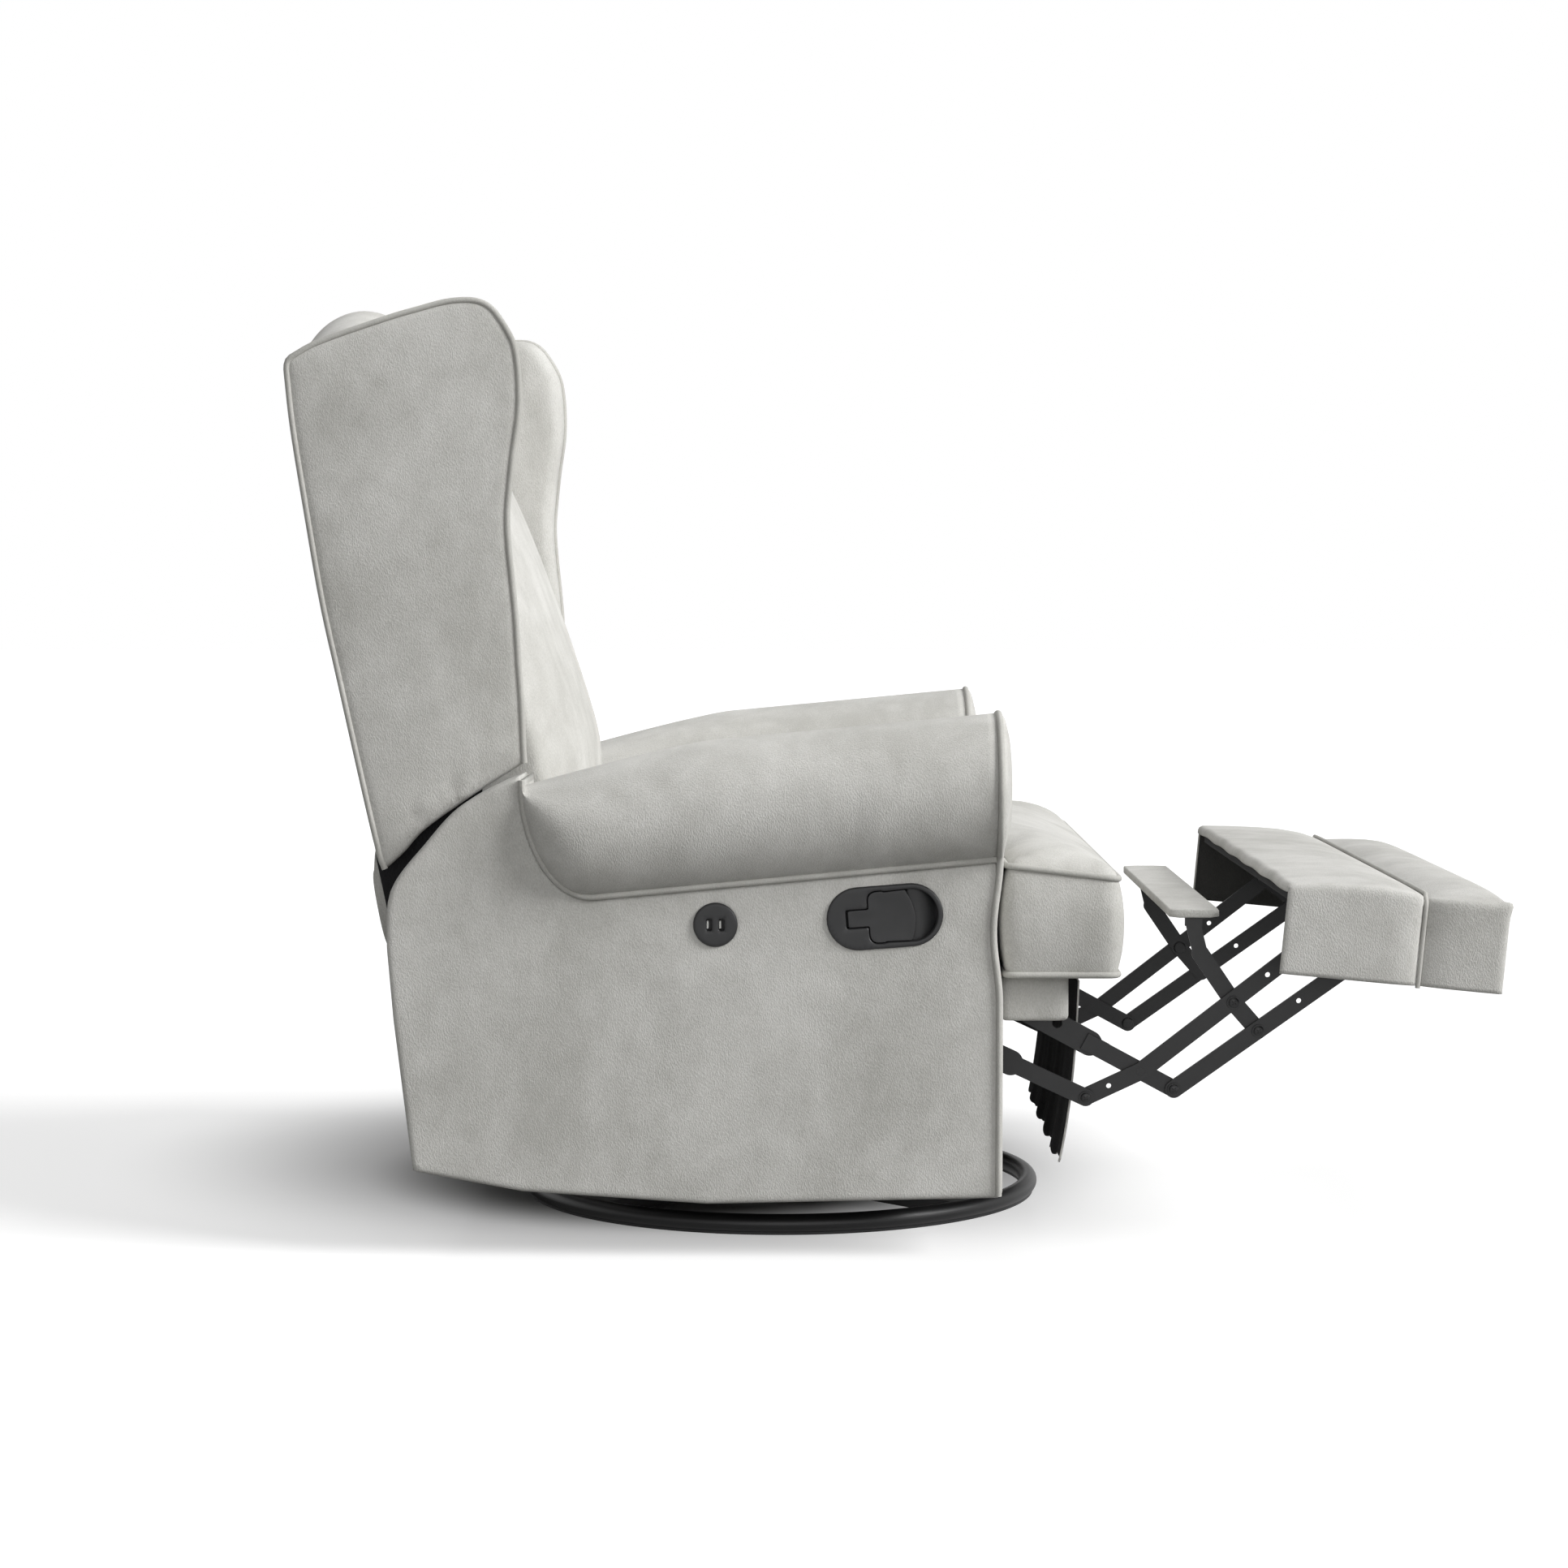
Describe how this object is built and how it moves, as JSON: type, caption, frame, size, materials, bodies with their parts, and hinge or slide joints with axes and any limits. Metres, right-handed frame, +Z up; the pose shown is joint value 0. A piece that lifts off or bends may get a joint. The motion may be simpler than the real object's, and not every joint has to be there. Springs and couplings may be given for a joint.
{
  "type": "glider recliner",
  "caption": "Wingback glider recliner with rolled arms, a T cushion, an open footrest on folding links, a ring base, a pull handle and charging sockets",
  "frame": {"origin": "on the floor at the centre of the ring base, on the swivel axis", "axes": "+X the way the sitter faces, +Y the sitter's left, +Z up"},
  "size_m": [1.3836, 0.9798, 1.0694],
  "materials": {
    "grey_fabric": "light warm grey brushed upholstery cloth",
    "black_cloth": "black lining cloth and webbing",
    "black_steel": "satin black powder coat",
    "bright_steel": "plain steel race",
    "dark_plastic": "matt dark grey plastic",
    "white_plastic": "white plastic",
    "wood_frame": "raw hardwood and plywood"
  },
  "bodies": {
    "base": {"base_ring": "black_steel", "base_spokes": "black_steel", "glide_strip": "dark_plastic", "swivel_lower_plate": "black_steel", "swivel_race": "bright_steel"},
    "turntable": {"swivel_upper_plate": "black_steel", "glide_base_frame": "black_steel"},
    "front_glide_links": {"glide_link_front_l": "black_steel", "glide_link_front_r": "black_steel"},
    "rear_glide_links": {"glide_link_rear_l": "black_steel", "glide_link_rear_r": "black_steel"},
    "back": {"back_frame": "wood_frame", "back_cushion": "grey_fabric", "wing_l": "grey_fabric", "wing_r": "grey_fabric", "back_outer_panel": "grey_fabric", "back_lining_l": "black_cloth", "back_lining_r": "black_cloth", "back_bracket_l": "black_steel", "back_bracket_r": "black_steel"},
    "long_swing_links": {"long_swing_link": "black_steel"},
    "short_swing_links": {"short_swing_link": "black_steel"},
    "bent_lift_links": {"bent_lift_link": "black_steel"},
    "straight_lift_links": {"straight_lift_link": "black_steel"},
    "flap": {"flap_brackets": "black_steel", "flap_pad": "grey_fabric"},
    "footrest": {"footrest_brackets": "black_steel", "footrest_board": "wood_frame", "footrest_tube": "black_steel", "footrest_pad_rear": "grey_fabric", "footrest_pad_front": "grey_fabric", "footrest_skirt": "grey_fabric"},
    "handle": {"handle_paddle": "dark_plastic"},
    "chair": {"glide_hanger_l": "black_steel", "glide_hanger_r": "black_steel", "cross_tubes": "black_steel", "mechanism_plate_l": "black_steel", "mechanism_plate_r": "black_steel", "seat_frame": "wood_frame", "seat_webbing": "black_cloth", "seat_cushion": "grey_fabric", "arm_frame_l": "wood_frame", "arm_frame_r": "wood_frame", "arm_inner_pad_l": "grey_fabric", "arm_inner_pad_r": "grey_fabric", "arm_roll_l": "grey_fabric", "arm_roll_r": "grey_fabric", "side_panel_l": "grey_fabric", "side_panel_r": "grey_fabric", "arm_front_l": "grey_fabric", "arm_front_r": "grey_fabric", "arm_cap_l": "grey_fabric", "arm_cap_r": "grey_fabric", "rear_panel": "grey_fabric", "front_rail": "grey_fabric", "front_curtain": "black_cloth", "handle_cup": "dark_plastic", "socket_body": "dark_plastic", "socket_tongues": "white_plastic"}
  },
  "joints": [
    {"name": "swivel", "type": "hinge", "parent": "base", "child": "turntable", "pos_m": [0, 0, 0], "axis": [0, 0, 1], "continuous": true},
    {"name": "glide", "type": "hinge", "parent": "turntable", "child": "front_glide_links", "pos_m": [0.13, 0, 0.236], "axis": [0, 1, 0], "range_deg": [-18, 18]},
    {"name": "rear_glide", "type": "hinge", "parent": "turntable", "child": "rear_glide_links", "pos_m": [-0.17, 0, 0.236], "axis": [0, 1, 0], "range_deg": [-18, 18]},
    {"name": "chair_hanger", "type": "hinge", "parent": "front_glide_links", "child": "chair", "pos_m": [0.13, 0, 0.086], "axis": [0, 1, 0], "range_deg": [-18, 18]},
    {"name": "recline", "type": "hinge", "parent": "chair", "child": "back", "pos_m": [-0.285, 0, 0.32], "axis": [0, -1, 0], "range_deg": [0, 32]},
    {"name": "footrest_fold", "type": "hinge", "parent": "chair", "child": "long_swing_links", "pos_m": [0.23, 0, 0.288], "axis": [0, 1, 0], "range_deg": [0, 104]},
    {"name": "short_swing", "type": "hinge", "parent": "chair", "child": "short_swing_links", "pos_m": [0.176, 0, 0.24], "axis": [0, 1, 0], "range_deg": [0, 119.61]},
    {"name": "bent_lift", "type": "hinge", "parent": "long_swing_links", "child": "bent_lift_links", "pos_m": [0.418, 0, 0.187], "axis": [0, 1, 0], "range_deg": [-82.01, 0]},
    {"name": "straight_lift", "type": "hinge", "parent": "long_swing_links", "child": "straight_lift_links", "pos_m": [0.456, 0, 0.166], "axis": [0, 1, 0], "range_deg": [-81.71, 0]},
    {"name": "flap_fold", "type": "hinge", "parent": "bent_lift_links", "child": "flap", "pos_m": [0.524, 0, 0.267], "axis": [0, 1, 0], "range_deg": [0, 50.01], "deforming": ["front_curtain"]},
    {"name": "footrest_turn", "type": "hinge", "parent": "bent_lift_links", "child": "footrest", "pos_m": [0.64, 0, 0.36], "axis": [0, 1, 0], "range_deg": [0, 63.97]},
    {"name": "handle_pull", "type": "hinge", "parent": "chair", "child": "handle", "pos_m": [0.07863, -0.447, 0.37882], "axis": [0.0785, 0, -0.9969], "range_deg": [0, 28], "stiffness_Nm_per_rad": 0.4}
  ],
  "couplings": [
    {"joint": "rear_glide", "follows": "glide", "ratio": 1},
    {"joint": "chair_hanger", "follows": "glide", "ratio": -1},
    {"joint": "short_swing", "follows": "footrest_fold", "ratio": 1.15},
    {"joint": "bent_lift", "follows": "footrest_fold", "ratio": -0.7885},
    {"joint": "straight_lift", "follows": "footrest_fold", "ratio": -0.7856},
    {"joint": "flap_fold", "follows": "footrest_fold", "ratio": 0.4808},
    {"joint": "footrest_turn", "follows": "footrest_fold", "ratio": 0.615}
  ]
}
